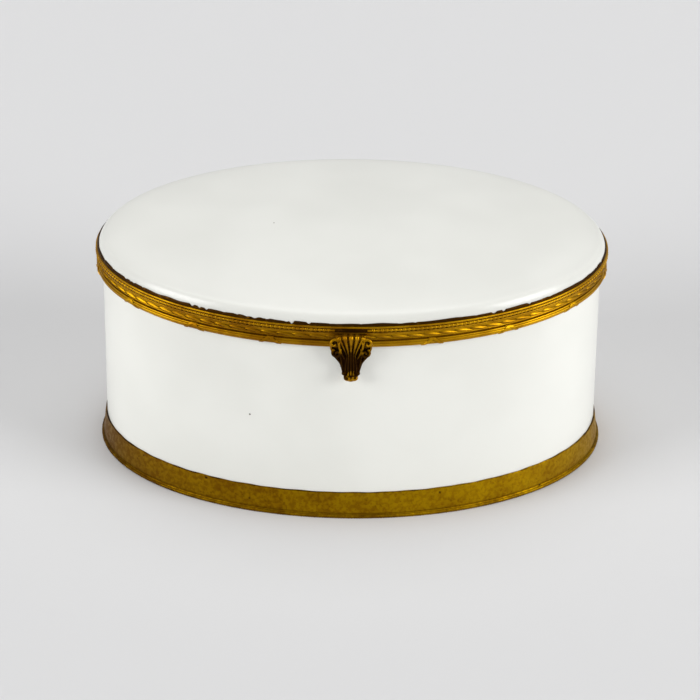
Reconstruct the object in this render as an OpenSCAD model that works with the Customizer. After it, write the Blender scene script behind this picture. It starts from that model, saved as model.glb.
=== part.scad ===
// Oval porcelain trinket box with gilt brass mounts and a hinged lid.
// The plan is an oval: every ring is turned as a circle of the half length and then
// narrowed across, so rings that nest on the turning axis also nest in the oval.
// Origin: centre of the oval on the surface that the box stands on. The front faces -Y.

/* [Body] */
// Half of the porcelain body's length
half_length = 90; // [80:1:100]
// Half of the porcelain body's width
half_width = 60; // [54:1:66]
// Height of the porcelain body at its mouth
mouth_z = 71.9; // [65:0.1:80]
// Thickness of the porcelain wall at the ends of the oval
wall_t = 4.4; // [3.8:0.1:5]
// Thickness of the porcelain floor
floor_t = 4; // [3:0.5:6]
// Height of the foot ring under the floor
foot_h = 2.4; // [1.5:0.1:4]
// How far the foot ring stays above the table, inside the base band
foot_lift = 0.8; // [0.5:0.1:1.5]

/* [Base band] */
// Height of the plain brass band round the foot
base_h = 10.5; // [8:0.5:14]
// Thickness of the base band at its top edge
base_top_t = 0.6; // [0.4:0.1:1]
// Thickness of the base band where it meets the lip
base_low_t = 1.6; // [1.2:0.1:1.9]
// Depth of the step in the porcelain that the plaster bedding fills
bed_t = 0.6; // [0.4:0.1:1]
// Height of the thin lip at the bottom of the band
lip_h = 1.3; // [1:0.1:2]
// How far the lip stands out from the porcelain wall
lip_reach = 2.4; // [2:0.1:3]

/* [Body rim] */
// Height of the reeded moulding under the seam
moulding_h = 3.3; // [3:0.1:4]
// How far the reeded moulding stands out from the wall
moulding_reach = 2.6; // [2:0.1:3]
// Thickness of the rim collar's flat land
land_t = 0.8; // [0.6:0.1:1.2]
// Thickness of the plaster under the land
land_bed_t = 0.6; // [0.4:0.1:1]
// Thickness of the collar's sleeve inside the mouth
sleeve_t = 0.6; // [0.5:0.1:1]
// Depth of the collar's sleeve inside the mouth
sleeve_h = 5; // [4:0.5:8]

/* [Lid] */
// Gap between the closed lid and the body rim
seam = 0.3; // [0.25:0.05:0.4]
// Height of the lid frame that carries the porcelain panel
frame_h = 2.6; // [2.4:0.1:3]
// How far the lid frame stands out from the wall line
frame_reach = 1.6; // [1.4:0.1:1.8]
// Thickness of the plaster under the panel
panel_bed_t = 0.4; // [0.3:0.1:0.6]
// How far the panel's edge stands out from the wall line
panel_reach = 1.3; // [1.1:0.1:1.35]
// Height of the panel's upright edge
panel_edge_h = 3.1; // [2.5:0.1:4]
// Radius of the rolled edge of the panel
roll_r = 5; // [4:0.5:7]
// Steepest slope of the rolled edge, in degrees
roll_steep = 75; // [60:1:80]
// Rise of the crown inside the rolled edge
crown_h = 4; // [2:0.5:7]
// Thickness of the panel in the middle
panel_t = 4.4; // [3.5:0.1:6]
// Gap between the locating flange and the collar's sleeve
flange_gap = 0.45; // [0.4:0.05:0.6]
// Thickness of the locating flange
flange_t = 0.75; // [0.6:0.05:1]
// How far the locating flange drops below the lid frame
flange_drop = 3.2; // [2:0.1:4]

/* [Lid ornament] */
// Thickness of the bezel wall
bezel_t = 0.65; // [0.5:0.05:0.8]
// Height of the bezel over the lid frame
bezel_h = 4.0; // [3.5:0.1:5]
// How far the bezel's upper edge leans in over the panel's roll
bezel_lean = 0.08; // [0:0.02:0.1]
// Height of the leaf border
border_h = 2.8; // [2.4:0.1:3]
// How far the leaf border stands out from the wall line
border_reach = 2.45; // [2.2:0.05:2.8]
// Depth of the hollow of the leaf border
border_hollow = 0.35; // [0.2:0.05:0.5]
// Diameter of the beads in the beaded wire
bead_d = 1.5; // [1.2:0.1:1.6]
// Height of the plain wire over the beads
fillet_h = 0.75; // [0.5:0.05:1]
// How far the plain wire stands out from the wall line
fillet_reach = 2.5; // [2.2:0.05:2.8]

/* [Hinge] */
// Length of the hinge
hinge_len = 28; // [20:1:36]
// Length of the lid's middle knuckle
knuckle_len = 13; // [8:1:16]
// Outer radius of the knuckles
knuckle_r = 1.5; // [1.3:0.1:1.8]
// Radius of the hinge pin
pin_r = 0.7; // [0.5:0.05:0.8]
// Radial running clearance of the pin in the lid's knuckle
pin_gap = 0.05; // [0.02:0.01:0.1]
// Distance of the leaves' outer faces behind the porcelain wall
leaf_reach = 1.8; // [1.7:0.1:2]

/* [Thumb piece] */
// Half width of the thumb piece across its volutes
thumb_half_w = 7.7; // [6:0.1:9]
// Radius of the volutes at its upper corners
volute_r = 2.0; // [1.5:0.1:2.5]
// Height of its top over the lid frame's underside
thumb_rise = 3.1; // [2:0.1:4]
// Length from its top to the tip of the bud
thumb_len = 18.7; // [15:0.1:22]
// Thickness of the leaf plate
thumb_t = 1.5; // [1:0.1:2]
// Radius of the bud at the tip
bud_r = 1.7; // [1.4:0.1:2.2]

/* [Hidden] */

$fn = 128;
narrow = half_width / half_length;
gilt = "goldenrod";
old_brass = "darkgoldenrod";
porcelain = "ivory";
plaster = "gainsboro";

// Heights of the stack at the seam
rim_z = mouth_z + land_bed_t + land_t;
lid_z = rim_z + seam;
seat_z = lid_z + frame_h;
panel_z = seat_z + panel_bed_t;
edge_z = panel_z + panel_edge_h;

// Radii on the turning axis
bore_r = half_length - wall_t;
sleeve_r = bore_r - sleeve_t;
flange_r = sleeve_r - flange_gap;
frame_r = half_length + frame_reach;
panel_r = half_length + panel_reach;
bezel_r = panel_r + bezel_t;

// Hinge axis: level with the seam and clear behind the rims
hinge_z = rim_z + seam / 2;
leaf_y = half_width + leaf_reach;
hinge_y = leaf_y + knuckle_r + seam;
knuckle_gap = seam;

// The thumb piece reaches as far forward as the hinge reaches back
front_y = hinge_y + knuckle_r;
thumb_top = lid_z + thumb_rise;
tang_half_w = 5.6;

// Leaf of the thumb piece down one side: half width and drop, as shares of its own width and length
thumb_stations = [
    [0, 0], [0.74, 0.03], [0.88, 0.25], [0.8, 0.34], [0.69, 0.47], [0.56, 0.59], [0.4, 0.73],
    [0.21, 0.91]
];

// Points of an arc about a centre, from one angle to another
function arc_points(cx, cz, r, from, to, steps) = [
    for (i = [0 : steps])
        let (t = from + (to - from) * i / steps)
            [cx + r * cos(t), cz + r * sin(t)]
];

// A ring or dome: the section is turned about the upright axis in two halves, front and
// back, and narrowed to the oval
module oval_turned(section) {
    for (turn = [0, 180])
        scale([1, narrow, 1])
            rotate([0, 0, turn])
                rotate_extrude(angle = 180)
                    polygon(section);
}

// A straight gap across one side of a ring, where the hinge or the thumb piece is let in
module side_gap(half_w, low_z, high_z, side) {
    translate([-half_w, side > 0 ? 0 : -2 * half_width, low_z])
        cube([2 * half_w, 2 * half_width, high_z - low_z]);
}

// Plan of a hinge leaf: straight at the back and fitted to the oval at the front
module leaf_plan(inner_r, length) {
    difference() {
        translate([-length / 2, half_width - 4])
            square([length, leaf_y - half_width + 4]);
        scale([1, narrow])
            circle(r = inner_r);
    }
}

// A barrel along X, from one end to the other
module barrel(x0, x1, r) {
    translate([x0, hinge_y, hinge_z])
        rotate([0, 90, 0])
            cylinder(h = x1 - x0, r = r);
}

// ---------- Body ----------

// Open oval vessel with a foot ring and a stepped seat for the base band
module porcelain_body() {
    floor_z = foot_lift + foot_h;
    seat_r = half_length - bed_t;
    corner_r = 3;
    color(porcelain)
        oval_turned(concat(
            [[0, floor_z], [bore_r - 1.5, floor_z], [bore_r - 0.5, foot_lift],
             [seat_r, foot_lift], [seat_r, base_h - 1], [half_length, base_h - 0.6],
             [half_length, mouth_z], [bore_r, mouth_z]],
            arc_points(bore_r - corner_r, floor_z + floor_t + corner_r, corner_r, 0, -90, 5),
            [[0, floor_z + floor_t]]));
}

// Plaster that fills the step behind the base band
module base_bedding() {
    color(plaster)
        oval_turned([
            [half_length - bed_t, foot_lift], [half_length, foot_lift],
            [half_length, base_h - 0.6], [half_length - bed_t, base_h - 1]]);
}

// Cast band round the foot, thin at the top and splayed towards the lip
module base_band() {
    color(old_brass)
        oval_turned([
            [half_length, 0], [half_length + base_low_t, 0],
            [half_length + base_low_t, lip_h + 0.2], [half_length + 1.1, base_h * 0.55],
            [half_length + base_top_t, base_h - 0.3], [half_length + base_top_t - 0.2, base_h],
            [half_length, base_h]]);
}

// Half-round wire that makes the lip of the base band
module base_lip_wire() {
    inner = half_length + base_low_t;
    color(old_brass)
        oval_turned(concat(
            [[inner, 0], [half_length + lip_reach - 0.5, 0]],
            arc_points(half_length + lip_reach - lip_h / 2, lip_h / 2, lip_h / 2, -60, 60, 6),
            [[inner, lip_h]]));
}

// Plaster between the porcelain mouth and the collar's land
module rim_bedding() {
    color(plaster)
        oval_turned([
            [bore_r + 0.2, mouth_z], [half_length - 0.2, mouth_z],
            [half_length - 0.2, mouth_z + land_bed_t], [bore_r + 0.2, mouth_z + land_bed_t]]);
}

// Brass collar on the mouth: a flat land with a sleeve that lines the opening
module rim_collar() {
    color(gilt)
        oval_turned([
            [sleeve_r, rim_z - sleeve_h], [bore_r, rim_z - sleeve_h],
            [bore_r, rim_z - land_t], [half_length, rim_z - land_t],
            [half_length, rim_z], [sleeve_r, rim_z]]);
}

// Half-round moulding of bundled reeds, let in for the hinge at the back
module reeded_moulding() {
    low_z = rim_z - moulding_h;
    bulge_r = moulding_h / 2;
    out = half_length + moulding_reach;
    color(gilt)
        difference() {
            oval_turned(concat(
                [[half_length, low_z]],
                arc_points(out - bulge_r, low_z + bulge_r, bulge_r, -80, 80, 9),
                [[half_length, rim_z]]));
            side_gap(hinge_len / 2 + 0.15, low_z - 1, rim_z + 1, 1);
        }
}

// Fixed leaf: it fills the gap in the moulding and carries the two outer knuckles
module hinge_leaf_lower() {
    low_z = rim_z - moulding_h;
    inner_end = knuckle_len / 2 + knuckle_gap;
    color(old_brass)
        difference() {
            union() {
                translate([0, 0, low_z])
                    linear_extrude(height = moulding_h)
                        leaf_plan(half_length, hinge_len);
                for (side = [-1, 1]) {
                    x0 = side > 0 ? inner_end : -hinge_len / 2;
                    translate([x0, leaf_y - 0.5, hinge_z - knuckle_r])
                        cube([hinge_len / 2 - inner_end, hinge_y - leaf_y + 0.5, knuckle_r - seam / 2]);
                    barrel(x0, x0 + hinge_len / 2 - inner_end, knuckle_r);
                }
            }
            barrel(-hinge_len, hinge_len, pin_r);
        }
}

// Pin with peened ends, held tight in the outer knuckles
module hinge_pin() {
    head_t = 0.4;
    color(gilt) {
        barrel(-hinge_len / 2, hinge_len / 2, pin_r);
        for (side = [-1, 1])
            barrel(side * (hinge_len / 2 + head_t / 2) - head_t / 2,
                side * (hinge_len / 2 + head_t / 2) + head_t / 2, pin_r + 0.35);
    }
}

// ---------- Lid ----------

// Flat ring that closes on the body rim and carries the panel
module lid_frame() {
    color(gilt)
        oval_turned([
            [flange_r, lid_z], [frame_r, lid_z], [frame_r, seat_z], [flange_r, seat_z]]);
}

// Thin flange that drops into the mouth and keeps the lid in line
module lid_flange() {
    color(gilt)
        oval_turned([
            [flange_r - flange_t, lid_z - flange_drop + 0.3], [flange_r - 0.3, lid_z - flange_drop],
            [flange_r, lid_z - flange_drop + 0.3], [flange_r, seat_z - 0.3],
            [flange_r - flange_t, seat_z - 0.3]]);
}

// Plaster under the panel's edge
module lid_bedding() {
    color(plaster)
        oval_turned([
            [flange_r + 1, seat_z], [panel_r - 0.6, seat_z],
            [panel_r - 0.6, panel_z], [flange_r + 1, panel_z]]);
}

// Domed porcelain panel: upright edge, rolled shoulder and a gentle crown
module lid_panel() {
    roll_x = panel_r - roll_r * sin(roll_steep);
    roll_z = edge_z - roll_r * cos(roll_steep);
    // The crown is the arc that leaves the roll without a corner and rises by crown_h
    crown_slope = 2 * atan(crown_h / roll_x);
    crown_x = roll_x + roll_r * sin(crown_slope);
    crown_r = crown_x / sin(crown_slope);
    shoulder_z = roll_z + roll_r * cos(crown_slope);
    crown_cz = shoulder_z - crown_r * cos(crown_slope);
    under_r = flange_r - 2;
    under_h = shoulder_z + crown_h - panel_t - panel_z;
    under_slope = 2 * atan(under_h / under_r);
    under_arc_r = under_r / sin(under_slope);
    under_cz = panel_z + under_h - under_arc_r;
    color(porcelain)
        oval_turned(concat(
            [[panel_r, panel_z], [panel_r, edge_z]],
            arc_points(roll_x, roll_z, roll_r, 90 - roll_steep, 90 - crown_slope, 8),
            [for (i = [1 : 7])
                let (t = crown_slope * (1 - i / 8))
                    [crown_r * sin(t), crown_cz + crown_r * cos(t)]],
            [[0, crown_cz + crown_r], [0, panel_z + under_h]],
            [for (i = [1 : 6])
                let (t = under_slope * i / 6)
                    [under_arc_r * sin(t), under_cz + under_arc_r * cos(t)]]));
}

// Thin wall round the panel, rubbed over the foot of its roll
module lid_bezel() {
    top_z = seat_z + bezel_h;
    color("saddlebrown")
        oval_turned([
            [panel_r, seat_z], [bezel_r, seat_z], [bezel_r, top_z - 0.9],
            [bezel_r - 0.2, top_z - 0.25], [panel_r + 0.2, top_z],
            [panel_r - bezel_lean, top_z - 0.1], [panel_r, edge_z]]);
}

// Hollow border of running leaves, let in for the hinge at the back
module leaf_border() {
    low_z = lid_z + 0.05;
    out = half_length + border_reach;
    color(gilt)
        difference() {
            oval_turned(concat(
                [[frame_r, low_z], [out - 0.25, low_z], [out, low_z + 0.3]],
                [for (i = [1 : 5])
                    let (t = i / 6)
                        [out - border_hollow * sin(180 * t), low_z + 0.3 + (border_h - 0.5) * t]],
                [[out, low_z + border_h - 0.2], [out - 0.2, low_z + border_h],
                 [bezel_r, low_z + border_h], [bezel_r, seat_z], [frame_r, seat_z]]));
            side_gap(hinge_len / 2 + 0.15, lid_z - 1, seat_z + 2, 1);
        }
}

// Round wire that carries the row of beads; it stops where the thumb piece is soldered
module bead_wire() {
    axis_z = lid_z + 0.05 + border_h + bead_d / 2;
    color(gilt)
        difference() {
            oval_turned(concat(
                [[bezel_r, axis_z - bead_d / 2]],
                arc_points(bezel_r, axis_z, bead_d / 2, -75, 75, 8),
                [[bezel_r, axis_z + bead_d / 2]]));
            side_gap(tang_half_w + 0.1, axis_z - bead_d, axis_z + bead_d, -1);
        }
}

// Plain bright wire over the beads
module lid_fillet_wire() {
    low_z = lid_z + 0.1 + border_h + bead_d;
    color(gilt)
        oval_turned([
            [bezel_r, low_z], [half_length + fillet_reach - 0.2, low_z],
            [half_length + fillet_reach, low_z + 0.2],
            [half_length + fillet_reach, low_z + fillet_h - 0.25],
            [half_length + fillet_reach - 0.25, low_z + fillet_h], [bezel_r, low_z + fillet_h]]);
}

// Leaf outline: shoulders at the volutes, then tapering to the bud
module thumb_outline() {
    last = len(thumb_stations) - 1;
    polygon(concat(
        [for (s = thumb_stations) [s[0] * thumb_half_w, -s[1] * thumb_len]],
        [for (i = [last : -1 : 1])
            [-thumb_stations[i][0] * thumb_half_w, -thumb_stations[i][1] * thumb_len]]));
}

// Acanthus thumb piece: leaf plate, volutes, midrib, bud and the tang behind it
module thumb_piece() {
    plate_y = -(front_y - 1.4);
    color(gilt) {
        translate([0, plate_y + thumb_t, thumb_top])
            rotate([90, 0, 0])
                linear_extrude(height = thumb_t)
                    thumb_outline();
        for (side = [-1, 1])
            translate([side * (thumb_half_w - volute_r), plate_y + thumb_t, thumb_top - volute_r - 0.3])
                rotate([90, 0, 0])
                    cylinder(h = thumb_t + 0.7, r = volute_r);
        hull() {
            translate([0, -front_y + 0.9, thumb_top - 3.0])
                sphere(r = 0.9, $fn = 24);
            translate([0, -front_y + 1.5, thumb_top - thumb_len + 3.4])
                sphere(r = 0.8, $fn = 24);
        }
        translate([0, -front_y + bud_r, thumb_top - thumb_len + bud_r])
            sphere(r = bud_r, $fn = 32);
        tang();
    }
}

// Tang of the thumb piece: it reaches back to the lid frame and the bezel
module tang() {
    difference() {
        translate([-tang_half_w, -front_y + 2.2, lid_z + 0.2])
            cube([2 * tang_half_w, front_y - half_width, thumb_top - lid_z - 0.9]);
        scale([1, narrow, 1])
            translate([0, 0, lid_z - 1])
                cylinder(h = 10, r = half_length + border_reach + 0.02);
    }
}

// Moving leaf: it fills the gap in the leaf border and carries the middle knuckle
module hinge_leaf_upper() {
    color(old_brass)
        difference() {
            union() {
                translate([0, 0, lid_z + 0.1])
                    linear_extrude(height = seat_z - lid_z - 0.1)
                        leaf_plan(frame_r, hinge_len);
                translate([-knuckle_len / 2, leaf_y - 0.4, hinge_z + seam / 2])
                    cube([knuckle_len, hinge_y - leaf_y + 0.4, knuckle_r - seam / 2]);
                barrel(-knuckle_len / 2, knuckle_len / 2, knuckle_r);
            }
            barrel(-hinge_len, hinge_len, pin_r + pin_gap);
        }
}

porcelain_body();
base_bedding();
base_band();
base_lip_wire();
rim_bedding();
rim_collar();
reeded_moulding();
hinge_leaf_lower();
hinge_pin();
lid_frame();
lid_flange();
lid_bedding();
lid_panel();
lid_bezel();
leaf_border();
bead_wire();
lid_fillet_wire();
thumb_piece();
hinge_leaf_upper();
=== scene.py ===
"""The looks of an oval porcelain trinket box with gilt brass mounts and a hinged lid.

Sizes are in millimetres and are turned into metres where a mesh is made. Every ring is laid out as
a circle of the half length, by a turning radius and an angle, and then narrowed across to the oval.
"""

import sys
import logging
import math
import random
from collections.abc import Callable, Sequence
from dataclasses import dataclass
from enum import Enum
from functools import cache

import bmesh
import bpy
import numpy as np
from mathutils import Matrix, Quaternion, Vector


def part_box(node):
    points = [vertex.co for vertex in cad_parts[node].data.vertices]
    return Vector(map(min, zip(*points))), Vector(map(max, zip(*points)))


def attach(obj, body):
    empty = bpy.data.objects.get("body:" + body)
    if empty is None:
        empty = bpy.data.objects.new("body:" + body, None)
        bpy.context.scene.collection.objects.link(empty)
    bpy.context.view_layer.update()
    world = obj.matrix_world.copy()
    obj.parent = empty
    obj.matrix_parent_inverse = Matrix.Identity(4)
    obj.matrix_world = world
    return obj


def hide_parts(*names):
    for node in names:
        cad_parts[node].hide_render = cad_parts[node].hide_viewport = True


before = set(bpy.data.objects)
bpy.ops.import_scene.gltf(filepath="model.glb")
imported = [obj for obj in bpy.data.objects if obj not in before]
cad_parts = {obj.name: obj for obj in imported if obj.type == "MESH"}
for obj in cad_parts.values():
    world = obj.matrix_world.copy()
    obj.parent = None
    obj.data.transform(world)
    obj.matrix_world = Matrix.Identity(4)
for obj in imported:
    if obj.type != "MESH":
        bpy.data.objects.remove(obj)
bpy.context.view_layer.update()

LOG = logging.getLogger("trinket_box")
MM = 0.001
ROUND_STEPS = 480
SHARP_ANGLE = math.radians(38)

Point = tuple[float, float]
Colour = tuple[float, float, float]
Section = Sequence[Point]
Entry = bpy.types.NodeSocket | float | Colour
Ripple = Callable[[float, float, float], Point]


class Slot(Enum):
    """The record's material slots."""

    PORCELAIN = "white_porcelain"
    PLASTER = "bedding_plaster"
    BAND = "band_brass"
    RIM = "rim_brass"
    GILT = "gilt_brass"
    BEZEL = "dark_bezel"


class Carrier(Enum):
    """The two bodies that the hinge joins."""

    BOX = "box"
    LID = "lid"


class Side(Enum):
    """A side of the oval, as an angle on the turning circle."""

    BACK = math.pi / 2
    FRONT = -math.pi / 2


# ---------- Layout ----------


@cache
def box_mm(node: str) -> tuple[Vector, Vector]:
    """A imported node's lowest and highest corners in millimetres."""
    low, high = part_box(node)
    return low / MM, high / MM


@dataclass(frozen=True)
class Oval:
    """The plan that every ring shares.

    Attributes:
        half_length: Half of the porcelain's length, which is its turning radius.
        narrow: Width of the oval for a length of one.
    """

    half_length: float
    narrow: float

    @classmethod
    def of_node(cls, node: str) -> "Oval":
        """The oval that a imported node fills."""
        _, high = box_mm(node)
        return cls(high.x, high.y / high.x)

    def point(self, radius: float, angle: float, height: float) -> tuple[float, float, float]:
        """A point on the ring of that turning radius."""
        return radius * math.cos(angle), self.narrow * radius * math.sin(angle), height

    def perimeter(self, radius: float) -> float:
        """Length once round the oval at a turning radius."""
        turns = np.linspace(0, 2 * math.pi, 2000)
        steps = np.diff(np.stack([radius * np.cos(turns), self.narrow * radius * np.sin(turns)]))
        return float(np.hypot(*steps).sum())


@dataclass(frozen=True)
class Gap:
    """A straight break in a ring.

    Attributes:
        side: The side of the oval that the break is on.
        half_width: Half of its width.
    """

    side: Side
    half_width: float


def arc(centre: Point, radius: float, start: float, end: float, steps: int) -> list[Point]:
    """Points along an arc.

    Args:
        centre: Radius and height of the arc's centre.
        radius: Radius of the arc.
        start: First angle in degrees, 0 pointing outwards and 90 up.
        end: Last angle in degrees.
        steps: Number of steps between them.

    Returns:
        The points in order.
    """
    turns = np.radians(np.linspace(start, end, steps + 1))
    return [(centre[0] + radius * math.cos(t), centre[1] + radius * math.sin(t)) for t in turns]


def bend(first: Point, first_slope: float, last: Point, last_slope: float, steps: int) -> list[Point]:
    """A curve that eases from one slope into another, going inwards and up.

    Args:
        first: Where it starts.
        first_slope: Its slope there, in degrees.
        last: Where it ends.
        last_slope: Its slope there, in degrees.
        steps: Number of steps.

    Returns:
        The points in order.
    """
    steep, flat = math.tan(math.radians(first_slope)), math.tan(math.radians(last_slope))
    run = (last[1] - first[1] - flat * (first[0] - last[0])) / (steep - flat)
    corner = (first[0] - run, first[1] + run * steep)
    made = []
    for t in np.linspace(0, 1, steps + 1).tolist():
        weights = ((1 - t) ** 2, 2 * t * (1 - t), t * t)
        made.append(
            tuple(sum(w * p[axis] for w, p in zip(weights, (first, corner, last))) for axis in (0, 1))
        )
    return made


def eased(section: Section, radius: float, steps: int = 3) -> list[Point]:
    """Rounds the corners of a section.

    Args:
        section: The corners in order, the last joined to the first.
        radius: How far from a corner the rounding starts, less where an edge is short.
        steps: Number of steps round each corner.

    Returns:
        The rounded section. A corner on the turning axis stays sharp.
    """
    points = [Vector(p) for p in section]
    made: list[Point] = []
    for i, corner in enumerate(points):
        before = points[i - 1] - corner
        after = points[(i + 1) % len(points)] - corner
        if corner.x == 0 or before.angle(after) > math.radians(165):
            made.append(tuple(corner))
            continue
        reach = min(radius, 0.45 * before.length, 0.45 * after.length)
        first = corner + before.normalized() * reach
        last = corner + after.normalized() * reach
        for k in range(steps + 1):
            t = k / steps
            made.append(tuple((1 - t) ** 2 * first + 2 * t * (1 - t) * corner + t * t * last))
    return made


# ---------- Meshes ----------


def mesh_piece(
    name: str, points: Sequence[Sequence[float]], faces: Sequence[Sequence[int]]
) -> bpy.types.Object:
    """Makes a closed piece whose faces point outwards.

    Args:
        name: Name of the piece.
        points: Its corners in millimetres.
        faces: The corners of each face.

    Returns:
        The piece, at the origin, smooth but for its sharp edges.
    """
    mesh = bpy.data.meshes.new(name)
    mesh.from_pydata([tuple(c * MM for c in p) for p in points], [], faces)
    work = bmesh.new()
    work.from_mesh(mesh)
    bmesh.ops.remove_doubles(work, verts=work.verts, dist=1e-7)
    bmesh.ops.recalc_face_normals(work, faces=work.faces)
    work.to_mesh(mesh)
    work.free()
    smooth(mesh)
    piece = bpy.data.objects.new(name, mesh)
    bpy.context.scene.collection.objects.link(piece)
    return piece


def smooth(mesh: bpy.types.Mesh) -> None:
    """Shades a mesh smooth and keeps its sharp edges."""
    mesh.shade_smooth()
    mesh.set_sharp_from_angle(angle=SHARP_ANGLE)


def lattice(
    rows: int, lanes: int, start: int = 0, round_rows: bool = False, round_lanes: bool = False
) -> list[tuple[int, ...]]:
    """The faces of a grid of corners that are numbered row by row.

    Args:
        rows: Number of rows.
        lanes: Number of corners in a row.
        start: Number of the first corner.
        round_rows: Whether the last row joins the first.
        round_lanes: Whether each row is a loop.

    Returns:
        The four corners of each face.
    """
    faces = []
    for i in range(rows if round_rows else rows - 1):
        row, following = start + i * lanes, start + (i + 1) % rows * lanes
        for j in range(lanes if round_lanes else lanes - 1):
            k = (j + 1) % lanes
            faces.append((row + j, following + j, following + k, row + k))
    return faces


def turned(
    name: str,
    oval: Oval,
    section: Section,
    gap: Gap | None = None,
    steps: int = ROUND_STEPS,
    ripple: Ripple | None = None,
) -> bpy.types.Object:
    """Turns a section about the upright axis and narrows it to the oval.

    Args:
        name: Name of the piece.
        oval: The plan.
        section: Radius and height of each corner. It starts and ends on the axis, or is a loop.
        gap: Where the ring is broken, if it is.
        steps: Number of steps round.
        ripple: Gives the radius and height of a corner at an angle, for dents and uneven edges.

    Returns:
        The piece.
    """
    loop = section[0][0] > 0
    count = len(section)
    rows = steps if gap is None else steps + 1
    points = []
    for i in range(rows):
        for radius, height in section:
            angle = 2 * math.pi * i / steps
            if gap is not None:
                clear = math.asin(gap.half_width / radius)
                angle = gap.side.value + clear + (2 * math.pi - 2 * clear) * i / steps
            if ripple is not None:
                radius, height = ripple(radius, height, angle)
            points.append(oval.point(radius, angle, height))
    faces = lattice(rows, count, round_rows=gap is None, round_lanes=loop)
    if gap is not None:
        faces.append(tuple(range(count)))
        faces.append(tuple(steps * count + j for j in range(count)))
    return mesh_piece(name, points, faces)


def tube(path: Sequence[Vector], radii: Sequence[float], sides: int = 10) -> tuple[list, list]:
    """A round bar along a path, closed at both ends.

    Args:
        path: Points of its centre line.
        radii: Its radius at each of them.
        sides: Number of sides.

    Returns:
        The corners and the faces.
    """
    points = []
    for i, centre in enumerate(path):
        ahead = (path[min(i + 1, len(path) - 1)] - path[max(i - 1, 0)]).normalized()
        across = ahead.cross(Vector((0, 1, 0))).normalized()
        out = across.cross(ahead)
        for k in range(sides):
            turn = 2 * math.pi * k / sides
            points.append(centre + radii[i] * (math.cos(turn) * across + math.sin(turn) * out))
    faces = lattice(len(path), sides, round_lanes=True)
    faces.append(tuple(range(sides)))
    faces.append(tuple((len(path) - 1) * sides + k for k in range(sides)))
    return points, faces


def settle(piece: bpy.types.Object) -> None:
    """Turns the result of a piece's modifiers into its own plain mesh."""
    graph = bpy.context.evaluated_depsgraph_get()
    made = bpy.data.meshes.new_from_object(piece.evaluated_get(graph))
    made.name = piece.name
    rough = piece.data
    piece.modifiers.clear()
    piece.data = made
    bpy.data.meshes.remove(rough)


def discard(piece: bpy.types.Object) -> None:
    """Removes a pattern shape once the row that it was cut for is made."""
    mesh = piece.data
    bpy.data.objects.remove(piece)
    bpy.data.meshes.remove(mesh)


# ---------- Node trees ----------


class Nodes:
    """A node tree, with short calls that add a node and fill its inputs."""

    def __init__(self, tree: bpy.types.NodeTree) -> None:
        """Works on that tree."""
        self.tree = tree

    def fill(self, socket: bpy.types.NodeSocket, value: object) -> None:
        """Links a socket or sets its value."""
        if isinstance(value, bpy.types.NodeSocket):
            self.tree.links.new(value, socket)
        elif isinstance(value, tuple) and socket.type == "RGBA":
            socket.default_value = (*value, 1.0)
        else:
            socket.default_value = value

    def node(self, kind: str, mode: dict[str, object] | None = None, **inputs: object) -> bpy.types.Node:
        """Adds a node and fills its inputs.

        Args:
            kind: The node's type.
            mode: Its settings by name.
            **inputs: Values or sockets by input name, with underscores for spaces.

        Returns:
            The node.
        """
        node = self.tree.nodes.new(kind)
        for name, value in (mode or {}).items():
            setattr(node, name, value)
        for name, value in inputs.items():
            self.fill(node.inputs[name.replace("_", " ")], value)
        return node

    def combined(self, kind: str, mode: dict[str, object], *values: object) -> bpy.types.Node:
        """Adds a node whose inputs share one name, and fills them in their order.

        Args:
            kind: The node's type.
            mode: Its settings by name.
            *values: Values or sockets.

        Returns:
            The node.
        """
        node = self.node(kind, mode)
        for socket, value in zip(node.inputs, values):
            self.fill(socket, value)
        return node


# ---------- Rows bent round the oval ----------


@dataclass(frozen=True)
class Row:
    """How a stamped shape repeats along a ring.

    Attributes:
        radius: Turning radius that the shape's own zero of depth lies on.
        level: Height of the shape's own zero.
        count: Number of shapes.
        pitch: Distance between them.
        first: Distance of the first one from the starting side.
        start: The side that the row starts from.
        worn: Share of its size that the most worn shape has lost.
        seed: Seed of the wear.
    """

    radius: float
    level: float
    count: int
    pitch: float
    first: float
    start: Side
    worn: float = 0.0
    seed: int = 1


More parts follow.
